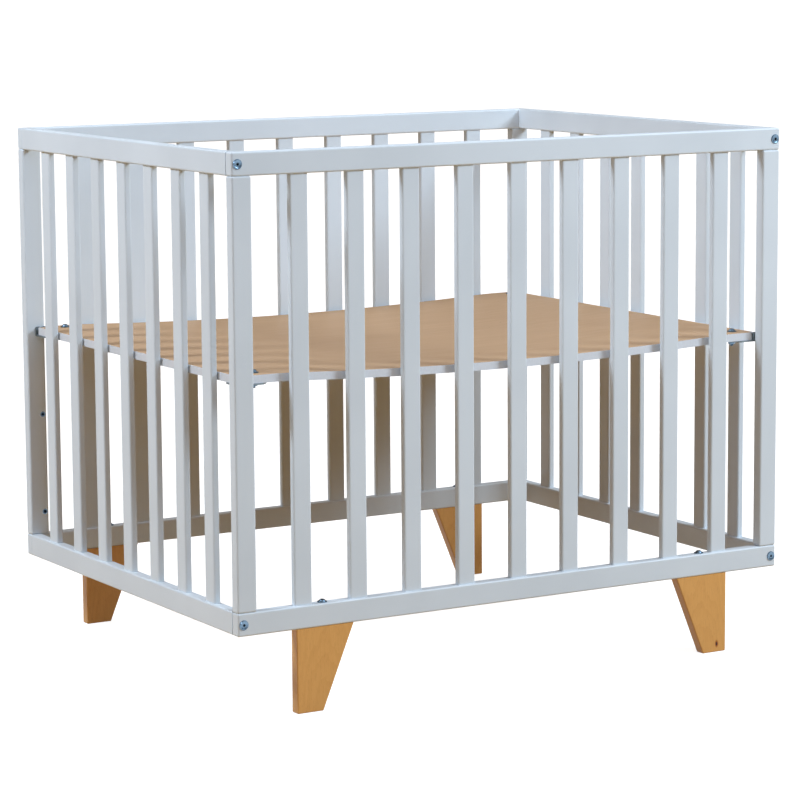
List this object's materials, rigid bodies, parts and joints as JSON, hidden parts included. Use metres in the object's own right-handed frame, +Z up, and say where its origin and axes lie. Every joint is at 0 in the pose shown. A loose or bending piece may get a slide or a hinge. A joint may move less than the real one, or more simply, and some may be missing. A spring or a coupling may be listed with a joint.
{
  "type": "slatted playpen crib",
  "caption": "Rectangular slatted playpen crib in white lacquered wood with a height-adjustable base board and tapered plank feet.",
  "frame": {"origin": "on the floor, at the middle of the crib's plan", "axes": "+X along the long side, towards the right end seen from the front; +Y from front to back; +Z up"},
  "size_m": [0.98, 0.7538, 0.835],
  "materials": {
    "white_lacquered_wood": "satin white lacquer on beech",
    "varnished_beech": "satin clear varnish on honey-coloured beech",
    "base_board_brown": "smooth brown faced board",
    "white_edge_band": "white edge band",
    "dowel_beech": "raw beech",
    "bracket_steel": "zinc-plated pressed steel",
    "zinc_steel": "bright zinc plating"
  },
  "bodies": {
    "frame": {"back_bottom_rail": "white_lacquered_wood", "back_left_post": "white_lacquered_wood", "back_right_post": "white_lacquered_wood", "back_slat_1": "white_lacquered_wood", "back_slat_2": "white_lacquered_wood", "back_slat_3": "white_lacquered_wood", "back_slat_4": "white_lacquered_wood", "back_slat_5": "white_lacquered_wood", "back_slat_6": "white_lacquered_wood", "back_slat_7": "white_lacquered_wood", "back_slat_8": "white_lacquered_wood", "back_slat_9": "white_lacquered_wood", "back_top_rail": "white_lacquered_wood", "bracket_bolts": "zinc_steel", "corner_barrel_nuts": "zinc_steel", "corner_bolts": "zinc_steel", "foot_back_left": "varnished_beech", "foot_back_right": "varnished_beech", "foot_bolts": "zinc_steel", "foot_front_left": "varnished_beech", "foot_front_right": "varnished_beech", "front_bottom_rail": "white_lacquered_wood", "front_left_post": "white_lacquered_wood", "front_right_post": "white_lacquered_wood", "front_slat_1": "white_lacquered_wood", "front_slat_2": "white_lacquered_wood", "front_slat_3": "white_lacquered_wood", "front_slat_4": "white_lacquered_wood", "front_slat_5": "white_lacquered_wood", "front_slat_6": "white_lacquered_wood", "front_slat_7": "white_lacquered_wood", "front_slat_8": "white_lacquered_wood", "front_slat_9": "white_lacquered_wood", "front_top_rail": "white_lacquered_wood", "left_bottom_rail": "white_lacquered_wood", "left_slat_1": "white_lacquered_wood", "left_slat_2": "white_lacquered_wood", "left_slat_3": "white_lacquered_wood", "left_slat_4": "white_lacquered_wood", "left_slat_5": "white_lacquered_wood", "left_slat_6": "white_lacquered_wood", "left_slat_7": "white_lacquered_wood", "left_top_rail": "white_lacquered_wood", "right_bottom_rail": "white_lacquered_wood", "right_slat_1": "white_lacquered_wood", "right_slat_2": "white_lacquered_wood", "right_slat_3": "white_lacquered_wood", "right_slat_4": "white_lacquered_wood", "right_slat_5": "white_lacquered_wood", "right_slat_6": "white_lacquered_wood", "right_slat_7": "white_lacquered_wood", "right_top_rail": "white_lacquered_wood", "threaded_inserts": "zinc_steel", "wood_dowels": "dowel_beech"},
    "base": {"base_board": "base_board_brown", "base_edge_band": "white_edge_band", "base_brackets": "bracket_steel", "board_screws": "zinc_steel", "board_washers": "zinc_steel", "board_nuts": "zinc_steel"}
  },
  "joints": [
    {"name": "base_height", "type": "slide", "parent": "frame", "child": "base", "axis": [0, 0, 1], "range_m": [-0.303, 0]}
  ]
}
